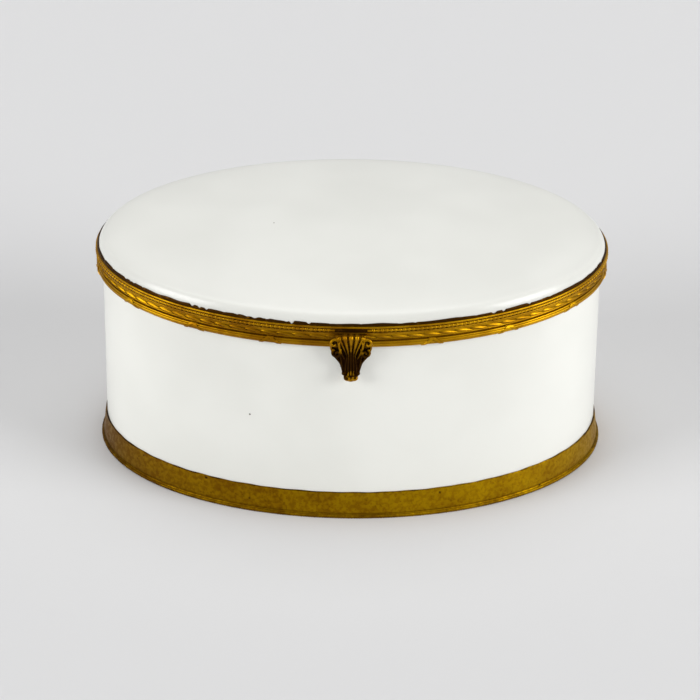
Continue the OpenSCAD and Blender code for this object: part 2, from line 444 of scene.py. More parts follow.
class StripTree(Nodes):
    """A Geometry Nodes tree that rolls a row of shapes out straight and bends it round the oval.

    A shape lies with X along the strip, Y outwards from the ring and Z up.
    """

    def __init__(self) -> None:
        """Builds the tree."""
        super().__init__(bpy.data.node_groups.new("bent_strip", "GeometryNodeTree"))
        self.tree.interface.new_socket("Ring", in_out="INPUT", socket_type="NodeSocketGeometry")
        kinds = {
            "Shape": "NodeSocketObject",
            "Count": "NodeSocketInt",
            "Pitch": "NodeSocketFloat",
            "Level": "NodeSocketFloat",
            "First": "NodeSocketFloat",
            "Start angle": "NodeSocketFloat",
            "Turning radius": "NodeSocketFloat",
            "Narrowing": "NodeSocketFloat",
            "Wear": "NodeSocketFloat",
            "Seed": "NodeSocketInt",
            "Finish": "NodeSocketMaterial",
        }
        self.keys = {
            name: self.tree.interface.new_socket(name, in_out="INPUT", socket_type=kind).identifier
            for name, kind in kinds.items()
        }
        self.tree.interface.new_socket("Piece", in_out="OUTPUT", socket_type="NodeSocketGeometry")
        self.given = self.node("NodeGroupInput").outputs
        bent = self._bend(self._strip())
        self._finish(bent)

    def _math(self, operation: str, first: object, second: object) -> bpy.types.NodeSocket:
        """Adds a sum of two values and returns its result."""
        return self.combined("ShaderNodeMath", {"operation": operation}, first, second).outputs[0]

    def _strip(self) -> bpy.types.NodeSocket:
        """Sets the shapes out in a straight row and returns the real mesh."""
        start = self.node("ShaderNodeCombineXYZ", X=self.given["First"], Z=self.given["Level"])
        step = self.node("ShaderNodeCombineXYZ", X=self.given["Pitch"])
        line = self.node(
            "GeometryNodeMeshLine",
            Count=self.given["Count"],
            Start_Location=start.outputs[0],
            Offset=step.outputs[0],
        )
        shape = self.node("GeometryNodeObjectInfo", Object=self.given["Shape"])
        wear = self.node("FunctionNodeRandomValue", {"data_type": "FLOAT"}, Seed=self.given["Seed"])
        smallest = self._math("SUBTRACT", 1.0, self.given["Wear"])
        self.fill(wear.inputs[2], smallest)
        self.fill(wear.inputs[3], 1.0)
        row = self.node(
            "GeometryNodeInstanceOnPoints",
            Points=line.outputs[0],
            Instance=shape.outputs["Geometry"],
            Scale=wear.outputs[1],
        )
        return self.node("GeometryNodeRealizeInstances", Geometry=row.outputs[0]).outputs[0]

    def _bend(self, strip: bpy.types.NodeSocket) -> bpy.types.NodeSocket:
        """Bends the straight row round the oval and returns it."""
        circle = self.node(
            "GeometryNodeCurvePrimitiveCircle", Resolution=1440, Radius=self.given["Turning radius"]
        )
        turn = self.node("ShaderNodeCombineXYZ", Z=self.given["Start angle"])
        started = self.node(
            "GeometryNodeTransform", Geometry=circle.outputs[0], Rotation=turn.outputs[0]
        )
        squeeze = self.node("ShaderNodeCombineXYZ", X=1.0, Y=self.given["Narrowing"], Z=1.0)
        plan = self.node(
            "GeometryNodeTransform", Geometry=started.outputs[0], Scale=squeeze.outputs[0]
        )
        place = self.node("GeometryNodeInputPosition")
        local = self.node("ShaderNodeSeparateXYZ", Vector=place.outputs[0])
        along = self.node(
            "GeometryNodeSampleCurve", {"mode": "LENGTH"}, Curves=plan.outputs[0], Length=local.outputs["X"]
        )
        depth = self._math("DIVIDE", local.outputs["Y"], self.given["Turning radius"])
        share = self._math("ADD", depth, 1.0)
        grown = self.node("ShaderNodeVectorMath", {"operation": "SCALE"}, Scale=share)
        self.fill(grown.inputs[0], along.outputs["Position"])
        raised = self.node("ShaderNodeCombineXYZ", Z=local.outputs["Z"])
        total = self.combined(
            "ShaderNodeVectorMath", {"operation": "ADD"}, grown.outputs[0], raised.outputs[0]
        )
        return self.node(
            "GeometryNodeSetPosition", Geometry=strip, Position=total.outputs[0]
        ).outputs[0]

    def _finish(self, row: bpy.types.NodeSocket) -> None:
        """Joins the row to its ring and gives the whole its finish."""
        joined = self.node("GeometryNodeJoinGeometry")
        self.fill(joined.inputs[0], row)
        self.fill(joined.inputs[0], self.given["Ring"])
        whole = self.node("GeometryNodeRealizeInstances", Geometry=joined.outputs[0])
        dressed = self.node(
            "GeometryNodeSetMaterial", Geometry=whole.outputs[0], Material=self.given["Finish"]
        )
        out = self.tree.nodes.new("NodeGroupOutput")
        self.fill(out.inputs["Piece"], dressed.outputs[0])

    def stamp(
        self,
        ring: bpy.types.Object,
        shape: bpy.types.Object,
        row: Row,
        oval: Oval,
        finish: bpy.types.Material,
    ) -> None:
        """Adds a row of shapes to a ring, which becomes one plain mesh.

        Args:
            ring: The plain ring that carries the row.
            shape: The pattern shape, which is used up.
            row: How it repeats.
            oval: The plan.
            finish: The material of the whole piece.
        """
        modifier = ring.modifiers.new("row", "NODES")
        modifier.node_group = self.tree
        values = {
            "Shape": shape,
            "Count": row.count,
            "Pitch": row.pitch * MM,
            "Level": row.level * MM,
            "First": row.first * MM,
            "Start angle": row.start.value,
            "Turning radius": row.radius * MM,
            "Narrowing": oval.narrow,
            "Wear": row.worn,
            "Seed": row.seed,
            "Finish": finish,
        }
        for name, value in values.items():
            modifier[self.keys[name]] = value
        settle(ring)
        discard(shape)


# ---------- Finishes ----------


class FinishSheet(Nodes):
    """A material's nodes, with short calls for what the finishes share."""

    def __init__(self, name: str) -> None:
        """Starts an empty material of that name."""
        self.material = bpy.data.materials.new(name)
        self.material.use_nodes = True
        super().__init__(self.material.node_tree)
        self.tree.nodes.clear()
        self.place = self.node("ShaderNodeTexCoord").outputs["Object"]

    def noise(
        self, size: float, detail: float = 3.0, stretch: Colour = (1, 1, 1), warp: float = 0.0
    ) -> bpy.types.NodeSocket:
        """A cloudy pattern.

        Args:
            size: Size of its blotches in millimetres.
            detail: How much finer detail lies over them.
            stretch: Scale of the pattern along each axis.
            warp: How much it is twisted.

        Returns:
            The socket of its value, about 0.3 to 0.7.
        """
        spread = self.node("ShaderNodeMapping", Vector=self.place, Scale=stretch)
        return self.node(
            "ShaderNodeTexNoise",
            Vector=spread.outputs[0],
            Scale=1 / (size * MM),
            Detail=detail,
            Distortion=warp,
        ).outputs[0]

    def cells(self, size: float) -> tuple[bpy.types.NodeSocket, bpy.types.NodeSocket]:
        """Scattered cells.

        Args:
            size: Their size in millimetres.

        Returns:
            The socket of the distance from each cell's centre, and the socket of its own random colour.
        """
        node = self.node("ShaderNodeTexVoronoi", Vector=self.place, Scale=1 / (size * MM))
        return node.outputs["Distance"], node.outputs["Color"]

    def ranged(
        self, value: bpy.types.NodeSocket, low: float, high: float, start: float = 0.0, end: float = 1.0
    ) -> bpy.types.NodeSocket:
        """Maps a value smoothly from one range onto another, and no further.

        Args:
            value: The value.
            low: Where the range starts.
            high: Where it ends.
            start: What its start becomes.
            end: What its end becomes.

        Returns:
            The socket of the new value.
        """
        shape = {"interpolation_type": "SMOOTHSTEP"}
        return self.combined("ShaderNodeMapRange", shape, value, low, high, start, end).outputs[0]

    def sum(self, operation: str, first: Entry, second: Entry) -> bpy.types.NodeSocket:
        """A sum of two values, kept from 0 to 1.

        Args:
            operation: The Math node's operation.
            first: The first value or socket.
            second: The second.

        Returns:
            The socket of the result.
        """
        mode = {"operation": operation, "use_clamp": True}
        return self.combined("ShaderNodeMath", mode, first, second).outputs[0]

    def blend(self, share: Entry, first: Entry, second: Entry) -> bpy.types.NodeSocket:
        """Mixes two colours by a share.

        Args:
            share: How much of the second shows.
            first: The first colour or socket.
            second: The second.

        Returns:
            The socket of the mix.
        """
        node = self.node("ShaderNodeMix", {"data_type": "RGBA"})
        self.fill(node.inputs[0], share)
        self.fill(node.inputs[6], first)
        self.fill(node.inputs[7], second)
        return node.outputs[2]

    def axis(self, name: str) -> bpy.types.NodeSocket:
        """One axis of the object's own coordinates, in metres."""
        return self.node("ShaderNodeSeparateXYZ", Vector=self.place).outputs[name]

    def spot(self, middle: Colour, radius: float, share: float) -> bpy.types.NodeSocket:
        """One small round spot.

        Args:
            middle: Where it lies, in millimetres.
            radius: Its radius in millimetres.
            share: How strongly it shows.

        Returns:
            The socket of its strength.
        """
        place = tuple(along * MM for along in middle)
        node = self.combined("ShaderNodeVectorMath", {"operation": "DISTANCE"}, self.place, place)
        return self.ranged(node.outputs["Value"], 0.5 * radius * MM, radius * MM, share, 0.0)

    def crevice(self, reach: float, open_at: float, shut_at: float) -> bpy.types.NodeSocket:
        """How deep a point lies in the piece's own hollows, from ambient occlusion; the finishes paint
        shade there by it.

        Args:
            reach: How far a wall still shades a point, in millimetres.
            open_at: Openness from which a point counts as clear.
            shut_at: Openness at which it counts as deep.

        Returns:
            The socket of the depth, 0 on a ridge and 1 deep down.
        """
        mode = {"only_local": True, "samples": 8}
        node = self.node("ShaderNodeAmbientOcclusion", mode, Distance=reach * MM)
        return self.ranged(node.outputs["AO"], shut_at, open_at, 1.0, 0.0)

    def bump(
        self,
        height: bpy.types.NodeSocket,
        depth: float,
        strength: float = 1.0,
        under: bpy.types.NodeSocket | None = None,
    ) -> bpy.types.NodeSocket:
        """Raises the surface by a pattern.

        Args:
            height: The pattern.
            depth: Height of its peaks in millimetres.
            strength: How much of it shows.
            under: The surface that it lies on, if that has a pattern too.

        Returns:
            The socket of the new surface direction.
        """
        node = self.node("ShaderNodeBump", Height=height, Distance=depth * MM, Strength=strength)
        if under is not None:
            self.fill(node.inputs["Normal"], under)
        return node.outputs[0]

    def shade(self, **inputs: object) -> bpy.types.Material:
        """Ends the material in one surface shader.

        Args:
            **inputs: Values or sockets by the shader's input name, with underscores for spaces.

        Returns:
            The material.
        """
        shader = self.node("ShaderNodeBsdfPrincipled", **inputs)
        self.node("ShaderNodeOutputMaterial", Surface=shader.outputs[0])
        return self.material


@dataclass(frozen=True)
class Porcelain:
    """White glazed porcelain: faint clouds in the glaze, a soft ripple, a few iron specks, and painted
    shade on the lid's roll.

    Attributes:
        glaze: The glaze where it is thin.
        cloud: The glaze where it is thick.
        painted_roll_shade: Painted shade on the lid's rolled edge, a greyer glaze colour there.
        speck: An iron speck.
        roll: Heights at which the painted shade starts, is full, starts to fade and ends, in millimetres.
        specks: The specks that are placed one by one: middle, radius and strength of each.
    """

    glaze: Colour = (0.805, 0.808, 0.76)
    cloud: Colour = (0.845, 0.848, 0.80)
    painted_roll_shade: Colour = (0.64, 0.642, 0.60)
    speck: Colour = (0.10, 0.08, 0.06)
    roll: tuple[float, float, float, float] = (78.0, 79.5, 81.5, 83.9)
    specks: tuple[tuple[Colour, float, float], ...] = (((-35.55, -55.15, 39.4), 0.46, 0.95),)

    def material(self) -> bpy.types.Material:
        """Builds the finish."""
        sheet = FinishSheet("white_porcelain")
        clouds = sheet.ranged(sheet.noise(45, 2), 0.35, 0.65)
        colour = sheet.blend(clouds, self.glaze, self.cloud)
        height = sheet.axis("Z")
        foot, full, thin, top = (level * MM for level in self.roll)
        # Painted shade: the glaze is greyed on the lid's rolled edge between these heights.
        painted_roll_shade_share = sheet.sum(
            "MULTIPLY", sheet.ranged(height, foot, full), sheet.ranged(height, thin, top, 0.55, 0.0)
        )
        colour = sheet.blend(painted_roll_shade_share, colour, self.painted_roll_shade)
        distance, own = sheet.cells(17)
        dot = sheet.ranged(distance, 0.008, 0.02, 1.0, 0.0)
        chosen = sheet.ranged(own, 0.62, 0.64)
        colour = sheet.blend(sheet.sum("MULTIPLY", dot, chosen), colour, self.speck)
        for spot, radius, share in self.specks:
            colour = sheet.blend(sheet.spot(spot, radius, share), colour, self.speck)
        ripple = sheet.bump(sheet.noise(3.2, 2), 0.02, 0.35)
        return sheet.shade(
            Base_Color=colour,
            Roughness=sheet.ranged(sheet.noise(20, 3), 0.3, 0.7, 0.30, 0.36),
            Normal=ripple,
            Specular_IOR_Level=0.42,
            Coat_Weight=0.25,
            Coat_Roughness=0.12,
        )


@dataclass(frozen=True)
class GiltBrass:
    """Fire-gilt brass: bright on the ridges, brown dirt and painted shade in the hollows, rubbed dull in
    patches, with painted shade to the left of the middle.

    Attributes:
        name: Name of the finish.
        bright: Gilding in good order.
        rubbed: Gilding worn thin; the painted side shade mixes towards it too.
        dirt_and_shade: Dirt settled in the hollows, and the painted shade there and on a thumb piece's
            lower half.
        reach: How wide the hollows are.
        painted_lower_shade: Painted shade over the lower half of a thumb piece, if it has any: the
        heights at which that starts, is full and ends, going down, in millimetres.
    """

    name: str
    bright: Colour = (0.58, 0.31, 0.005)
    rubbed: Colour = (0.29, 0.125, 0.002)
    dirt_and_shade: Colour = (0.028, 0.009, 0.001)
    reach: float = 1.1
    painted_lower_shade: tuple[float, float, float] | None = None

    def material(self) -> bpy.types.Material:
        """Builds the finish."""
        sheet = FinishSheet(self.name)
        patches = sheet.ranged(sheet.noise(9, 4, warp=0.4), 0.42, 0.66)
        along = sheet.axis("X")
        # Painted shade: more of the rubbed colour to the left of the middle, less towards the right.
        painted_side_shade = sheet.sum(
            "MULTIPLY",
            sheet.ranged(along, -80 * MM, -45 * MM, 0.15, 0.62),
            sheet.ranged(along, -12 * MM, 48 * MM, 1.0, 0.12),
        )
        # Share of the rubbed colour: worn patches plus the painted side shade.
        thin = sheet.sum("ADD", sheet.sum("MULTIPLY", patches, 0.55), painted_side_shade)
        colour = sheet.blend(thin, self.bright, self.rubbed)
        grain = sheet.noise(0.55, 4)
        # Painted shade in the hollows, from their occlusion, with flecks of dirt from the grain added.
        deep = sheet.crevice(self.reach, 0.96, 0.48)
        deep = sheet.sum("ADD", deep, sheet.ranged(grain, 0.56, 0.75, 0.0, 0.35))
        # The painted shade and dirt in the hollows are lighter towards the right.
        deep = sheet.sum("MULTIPLY", deep, sheet.ranged(along, 0, 60 * MM, 1.0, 0.72))
        # Painted shade over the thumb piece's lower half, which faces down, ending just above its foot.
        if self.painted_lower_shade is not None:
            top, middle, foot = (h * MM for h in self.painted_lower_shade)
            uneven = sheet.ranged(sheet.noise(3, 3), 0.3, 0.7, -2 * MM, 2 * MM)
            height = sheet.sum("ADD", sheet.axis("Z"), uneven)
            above = sheet.ranged(height, middle, top, 0.93, 0.0)
            below = sheet.ranged(height, foot - 1.2 * MM, foot, 0.0, 1.0)
            deep = sheet.sum("ADD", deep, sheet.sum("MULTIPLY", above, below))
        colour = sheet.blend(deep, colour, self.dirt_and_shade)
        worn = sheet.sum("ADD", sheet.ranged(patches, 0, 1, 0.42, 0.50), sheet.sum("MULTIPLY", deep, 0.3))
        surface = sheet.bump(grain, 0.05, 0.5)
        surface = sheet.bump(sheet.noise(2.2, 3), 0.10, 0.4, surface)
        return sheet.shade(Base_Color=colour, Metallic=1.0, Roughness=worn, Normal=surface)


@dataclass(frozen=True)
class BandBrass:
    """Cast brass that has gone dull: mottled brown and gold, with pits and stains, painted shade in its
    hollows, and browner and darker towards the left.

    Attributes:
        gold: The brass where it is clean.
        brown: The brass where it has gone dull.
        stain_and_shade: Stains in the pits and along the edges, and the painted shade in the hollows.
        upper: Heights between which the upper edge darkens, in millimetres.
        lower: Heights between which the darkening over the lip fades, in millimetres.
    """

    gold: Colour = (0.42, 0.245, 0.002)
    brown: Colour = (0.215, 0.095, 0.001)
    stain_and_shade: Colour = (0.040, 0.014, 0.001)
    upper: Point = (9.9, 10.25)
    lower: Point = (1.0, 2.3)

    def material(self) -> bpy.types.Material:
        """Builds the finish."""
        sheet = FinishSheet("band_brass")
        mottle = sheet.ranged(sheet.noise(1.5, 6, warp=0.4), 0.34, 0.66)
        broad = sheet.ranged(sheet.noise(14, 3), 0.40, 0.66, 0.0, 0.35)
        # More of the dull brown towards the left.
        left = sheet.ranged(sheet.axis("X"), -90 * MM, 60 * MM, 0.5, 0.0)
        share = sheet.sum("ADD", sheet.sum("MULTIPLY", mottle, 0.45), sheet.sum("ADD", broad, left))
        colour = sheet.blend(share, self.gold, self.brown)
        speck = sheet.ranged(sheet.noise(0.75, 4), 0.58, 0.72)
        pits, own = sheet.cells(5.5)
        pit = sheet.sum(
            "MULTIPLY", sheet.ranged(pits, 0.05, 0.12, 1.0, 0.0), sheet.ranged(own, 0.55, 0.6)
        )
        dark = sheet.sum("ADD", sheet.sum("MULTIPLY", speck, 0.3), sheet.sum("MULTIPLY", pit, 0.8))
        # Painted shade in the band's hollows, from their occlusion.
        dark = sheet.sum("ADD", dark, sheet.crevice(0.9, 0.92, 0.45))
        height = sheet.axis("Z")
        edges = sheet.sum(
            "ADD",
            sheet.ranged(height, self.upper[0] * MM, self.upper[1] * MM, 0.0, 0.85),
            sheet.ranged(height, self.lower[0] * MM, self.lower[1] * MM, 0.45, 0.0),
        )
        smear = sheet.ranged(sheet.noise(6, 4, stretch=(1, 1, 3)), 0.35, 0.62, 0.35, 1.0)
        dark = sheet.sum("ADD", dark, sheet.sum("MULTIPLY", edges, smear))
        # Darker still towards the left.
        dark = sheet.sum("ADD", dark, sheet.ranged(sheet.axis("X"), -95 * MM, 25 * MM, 0.3, 0.0))
        colour = sheet.blend(dark, colour, self.stain_and_shade)
        surface = sheet.bump(sheet.noise(0.8, 5), 0.08, 0.6)
        surface = sheet.bump(sheet.noise(5, 4), 0.25, 0.5, surface)
        surface = sheet.bump(sheet.sum("SUBTRACT", 1.0, pit), 0.15, 0.8, surface)
        return sheet.shade(
            Base_Color=colour,
            Metallic=1.0,
            Roughness=sheet.ranged(mottle, 0, 1, 0.46, 0.62),
            Normal=surface,
        )


@dataclass(frozen=True)
class RimBrass:
    """Plain brass, touched in use: brushed along the ring, brown with flecks of dirt and painted shade at
    its inner edges.
    """

    polished: Colour = (0.55, 0.34, 0.06)
    dull: Colour = (0.30, 0.165, 0.022)
    dirt_and_shade: Colour = (0.05, 0.022, 0.006)

    def material(self) -> bpy.types.Material:
        """Builds the finish."""
        sheet = FinishSheet("rim_brass")
        patches = sheet.ranged(sheet.noise(12, 5, warp=0.5), 0.38, 0.64)
        colour = sheet.blend(patches, self.polished, self.dull)
        # Painted shade in the hollows, from their occlusion, with flecks of dirt added below.
        deep = sheet.crevice(0.8, 0.9, 0.4)
        fleck = sheet.ranged(sheet.noise(0.9, 5), 0.6, 0.74, 0.0, 0.6)
        colour = sheet.blend(sheet.sum("ADD", deep, fleck), colour, self.dirt_and_shade)
        lines = sheet.noise(0.35, 2, stretch=(0.12, 0.12, 1.0))
        surface = sheet.bump(lines, 0.02, 0.5)
        surface = sheet.bump(sheet.noise(1.6, 4), 0.05, 0.4, surface)
        return sheet.shade(
            Base_Color=colour,
            Metallic=1.0,
            Roughness=sheet.ranged(patches, 0, 1, 0.30, 0.46),
            Normal=surface,
        )


@dataclass(frozen=True)
class DarkBezel:
    """Brass that has gone nearly black, with a glint of gold where it is rubbed."""

    black: Colour = (0.046, 0.018, 0.002)
    glint: Colour = (0.16, 0.07, 0.008)

    def material(self) -> bpy.types.Material:
        """Builds the finish."""
        sheet = FinishSheet("dark_bezel")
        rubbed = sheet.ranged(sheet.noise(2.6, 5, warp=0.8), 0.58, 0.74, 0.0, 0.7)
        colour = sheet.blend(rubbed, self.black, self.glint)
        surface = sheet.bump(sheet.noise(0.6, 5), 0.10, 0.7)
        return sheet.shade(
            Base_Color=colour,
            Metallic=1.0,
            Roughness=sheet.ranged(rubbed, 0, 0.7, 0.55, 0.40),
            Normal=surface,
        )


@dataclass(frozen=True)
class Plaster:
    """Old setting plaster: chalky, stained by the brass beside it."""

    chalk: Colour = (0.72, 0.69, 0.60)
    stained: Colour = (0.46, 0.38, 0.24)

    def material(self) -> bpy.types.Material:
        """Builds the finish."""
        sheet = FinishSheet("bedding_plaster")
        stains = sheet.ranged(sheet.noise(4, 5), 0.42, 0.68)
        surface = sheet.bump(sheet.noise(0.5, 5), 0.12, 0.8)
        return sheet.shade(
            Base_Color=sheet.blend(stains, self.chalk, self.stained),
            Roughness=sheet.ranged(stains, 0, 1, 0.8, 0.95),
            Normal=surface,
            Specular_IOR_Level=0.2,
        )


class Finishes:
    """The finishes of the box, one for each slot, and the thumb piece's own."""

    def __init__(self) -> None:
        """Builds every finish once."""
        self.by_slot = {
            Slot.PORCELAIN: Porcelain().material(),
            Slot.PLASTER: Plaster().material(),
            Slot.BAND: BandBrass().material(),
            Slot.RIM: RimBrass().material(),
            Slot.GILT: GiltBrass("gilt_brass").material(),
            Slot.BEZEL: DarkBezel().material(),
        }
        # The thumb piece's gilt, with painted shade over its lower half.
        self.thumb = GiltBrass("handled_gilt", reach=1.3, painted_lower_shade=(73.6, 67.8, 60.9)).material()


# ---------- The box ----------


@dataclass
class SubAssembly:
    """What every sub-assembly works with.

    Attributes:
        oval: The plan of the box.
        finishes: The finishes.
        strips: The tree that bends a row of shapes round the oval.
    """

    oval: Oval
    finishes: Finishes
    strips: StripTree

    def fit(
        self,
        piece: bpy.types.Object,
        carrier: Carrier,
        slot: Slot,
        finish: bpy.types.Material | None = None,
    ) -> None:
        """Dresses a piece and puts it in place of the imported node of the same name.

        Args:
            piece: The piece, whose name is NODE_shape.
            carrier: The body that it rides on.
            slot: Its material slot.
            finish: Its own finish, where that isn't the slot's.
        """
        piece.data.materials.clear()
        piece.data.materials.append(finish or self.finishes.by_slot[slot])
        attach(piece, carrier.value)
        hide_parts(piece.name.removesuffix("_shape"))
        LOG.info("%s: %d faces on %s", piece.name, len(piece.data.polygons), carrier.value)

    def dress_node(self, node: str, slot: Slot) -> None:
        """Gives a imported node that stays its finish."""
        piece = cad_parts[node]
        piece.data.materials.clear()
        piece.data.materials.append(self.finishes.by_slot[slot])
        LOG.info("%s: kept as packed", node)


@dataclass
class Vessel(SubAssembly):
    """The porcelain body and the plaster in its seats.

    Attributes:
        wall: Thickness of the wall at the ends of the oval.
        bed: Depth of the step that takes the base band.
        floor_lift: Height of the floor over the foot ring.
        floor: Thickness of the floor.
        corner: Radius of the inner corner.
    """

    wall: float = 4.4
    bed: float = 0.6
    floor_lift: float = 2.4
    floor: float = 4.0
    corner: float = 3.0

    def build(self) -> None:
        """Builds the vessel and dresses the plaster."""
        low, high = box_mm("porcelain_body")
        _, band = box_mm("base_band")
        bore = high.x - self.wall
        seat = high.x - self.bed
        under = low.z + self.floor_lift
        inside = under + self.floor
        corner = arc((bore - self.corner, inside + self.corner), self.corner, 0, -90, 10)
        section = eased(
            [
                (0, under), (bore - 1.5, under), (bore - 0.5, low.z), (seat, low.z),
                (seat, band.z - 1), (high.x, band.z - 0.6), (high.x, high.z), (bore, high.z),
                *corner, (0, inside),
            ],
            0.3,
        )
        piece = turned("porcelain_body_shape", self.oval, section)
        self.fit(piece, Carrier.BOX, Slot.PORCELAIN)
        self.dress_node("base_bedding", Slot.PLASTER)
        self.dress_node("rim_bedding", Slot.PLASTER)


@dataclass
class BaseBand(SubAssembly):
    """The splayed band round the foot and the milled wire that makes its lip.

    Attributes:
        groove: Depth of the groove over the lip.
        dent: Depth of the dents in the band.
        level: Height up to which the band's upper edge stays level.
        milling: Distance between the cuts of the milled wire.
    """

    groove: float = 0.4
    dent: float = 0.07
    level: float = 8.5
    milling: float = 0.95

    def _dented(self, radius: float, height: float, angle: float) -> Point:
        """Knocks the band slightly out of true, and its upper edge out of level."""
        knock = math.sin(7 * angle + 1.3) + math.sin(19 * angle) + 0.6 * math.sin(43 * angle + 0.7)
        _, high = box_mm("base_band")
        lift = 0.05 * math.sin(31 * angle) + 0.06 * math.sin(57 * angle + 2) - 0.11
        share = max(0.0, (height - self.level) / (high.z - self.level))
        outer = radius > self.oval.half_length + 0.2
        return radius - (self.dent * (0.5 + knock / 6) if outer else 0), height + lift * share

    def build(self) -> None:
        """Builds the band and the lip."""
        _, band = box_mm("base_band")
        _, lip = box_mm("base_lip_wire")
        inner = self.oval.half_length
        low = band.x
        band_section = eased(
            [
                (inner, 0), (low, 0), (low, lip.z), (low - self.groove, lip.z + 0.3),
                (low - 0.08, lip.z + 0.95), (inner + 1.1, band.z * 0.55), (inner + 0.6, band.z - 0.3),
                (inner + 0.4, band.z), (inner, band.z),
            ],
            0.35,
        )
        piece = turned("base_band_shape", self.oval, band_section, steps=960, ripple=self._dented)
        self.fit(piece, Carrier.BOX, Slot.BAND)
        half = lip.z / 2
        core = lip.x - half - 0.12
        nose = arc((core, half), half, -70, 70, 8)
        wire = turned("base_lip_wire_shape", self.oval, [(low, 0), *nose, (low, lip.z)])
        length = self.oval.perimeter(lip.x - half)
        count = round(length / self.milling)
        row = Row(core, half, count, length / count, 0, Side.BACK, worn=0.1, seed=3)
        self.strips.stamp(wire, self._tooth(half), row, self.oval, self.finishes.by_slot[Slot.BAND])
        self.fit(wire, Carrier.BOX, Slot.BAND)

    def _tooth(self, half: float) -> bpy.types.Object:
        """One ridge of the milling: an upright bar with a round nose."""
        width = self.milling * 0.56
        points = []
        nose = arc((0, 0), half + 0.1, -58, 58, 6)
        for side in (-0.5, 0.0, 0.5):
            rise = 0.0 if side == 0.0 else -0.16
            points += [(side * width, depth + rise, height) for depth, height in nose]
        count = len(nose)
        faces = lattice(3, count)
        base = len(points)
        points += [(-width / 2, 0, 0), (width / 2, 0, 0)]
        for j in range(count - 1):
            faces.append((j + 1, j, base))
            faces.append((2 * count + j, 2 * count + j + 1, base + 1))
        faces.append((0, count, 2 * count, base + 1, base))
        faces.append((count - 1, base, base + 1, 3 * count - 1, 2 * count - 1))
        return mesh_piece("tooth", points, faces)


@dataclass
class BodyRim(SubAssembly):
    """The collar on the mouth and the reeded moulding under the seam.

    Attributes:
        sleeve: Thickness of the collar's sleeve.
        land: Thickness of its flat land.
        reeds: Angles of the three reeds round the moulding's section, in degrees.
        reed: Radius of a reed.
        proud: How far a ribbon stands out of the reeds.
        ties: Number of ribbon ties once round; the two at the hinge are left out.
        knot: Angle round the section at which the ribbons cross, in degrees.
        tie_spread: How far along the moulding a ribbon gets below the crossing.
    """

    sleeve: float = 0.6
    land: float = 0.8
    reeds: tuple[float, ...] = (50.0, 3.0, -44.0)
    reed: float = 0.46
    proud: float = 0.28
    ties: int = 17
    knot: float = 44.0
    tie_spread: float = 3.1

    def build(self) -> None:
        """Builds the collar and the moulding."""
        low, high = box_mm("rim_collar")
        bore = high.x - Vessel.wall
        sleeve = bore - self.sleeve
        section = eased(
            [
                (sleeve, low.z), (bore, low.z), (bore, high.z - self.land), (high.x, high.z - self.land),
                (high.x, high.z), (sleeve, high.z),
            ],
            0.25,
        )
        self.fit(turned("rim_collar_shape", self.oval, section), Carrier.BOX, Slot.RIM)
        self._moulding()

    def _bulge(self, radius: float, turn: float) -> float:
        """How far the bundled reeds reach from the section's centre at an angle in degrees."""
        far = radius - self.reed
        reach = 0.72 * radius
        for middle in self.reeds:
            off = math.radians(turn - middle)
            inside = self.reed**2 - (far * math.sin(off)) ** 2
            if inside > 0 and abs(off) < math.pi / 2:
                reach = max(reach, far * math.cos(off) + math.sqrt(inside))
        return reach

    def _moulding(self) -> None:
        """Builds the reeds, with a ribbon tied across them at even steps."""
        low, high = box_mm("reeded_moulding")
        inner = self.oval.half_length
        radius = (high.z - low.z) / 2
        centre = (high.x - radius, low.z + radius)
        nose = []
        for turn in np.linspace(-84, 84, 57):
            reach = self._bulge(radius - self.proud, turn)
            nose.append(arc(centre, reach, turn, turn, 0)[0])
        ring = turned(
            "reeded_moulding_shape",
            self.oval,
            [(inner, low.z + 0.02), *nose, (inner, high.z)],
            gap=Gap(Side.BACK, Hinge.clear),
            steps=720,
        )
        length = self.oval.perimeter(centre[0])
        pitch = length / self.ties
        row = Row(*centre, self.ties - 2, pitch, 1.5 * pitch, Side.BACK, worn=0.03, seed=5)
        finish = self.finishes.by_slot[Slot.GILT]
        self.strips.stamp(ring, self._tie(radius), row, self.oval, finish)
        self.fit(ring, Carrier.BOX, Slot.GILT)

    def _tie(self, radius: float) -> bpy.types.Object:
        """Two ribbons that cross near the top of the moulding and part below it.

        Args:
            radius: Radius of the moulding's section.

        Returns:
            The pattern shape, in strip coordinates about the section's middle.
        """
        points, faces = [], []
        turns = (-64, -54, -42, -30, -18, -6, 6, 18, 30, 42, 54, 66, 78, 84)
        profile = ((-1, -0.4), (-0.8, 0.0), (0, 0.05), (0.8, 0.0), (1, -0.4))
        for hand in (-1, 1):
            start = len(points)
            for turn in turns:
                fall = max(0.0, self.knot - turn) / (self.knot - turns[0])
                middle = hand * (0.25 + self.tie_spread * fall**0.9)
                wide = 1.05 - 0.25 * fall
                for across, lift in profile:
                    reach = radius - 0.06 + lift
                    place = arc((0, 0), reach, turn, turn, 0)[0]
                    points.append((middle + across * wide, *place))
            faces += lattice(len(turns), len(profile), start, round_lanes=True)
            faces.append(tuple(range(start, start + len(profile))))
            faces.append(tuple(range(len(points) - len(profile), len(points))))
        return mesh_piece("tie", points, faces)


@dataclass
class Hinge(SubAssembly):
    """The two leaves and the pin, which stay as packed.

    Attributes:
        clear: Half width of the break in a ring that its leaves pass through.
    """

    clear: float = 14.15

    def build(self) -> None:
        """Dresses the hinge."""
        for node in ("hinge_leaf_lower", "hinge_leaf_upper", "hinge_pin"):
            self.dress_node(node, Slot.RIM)


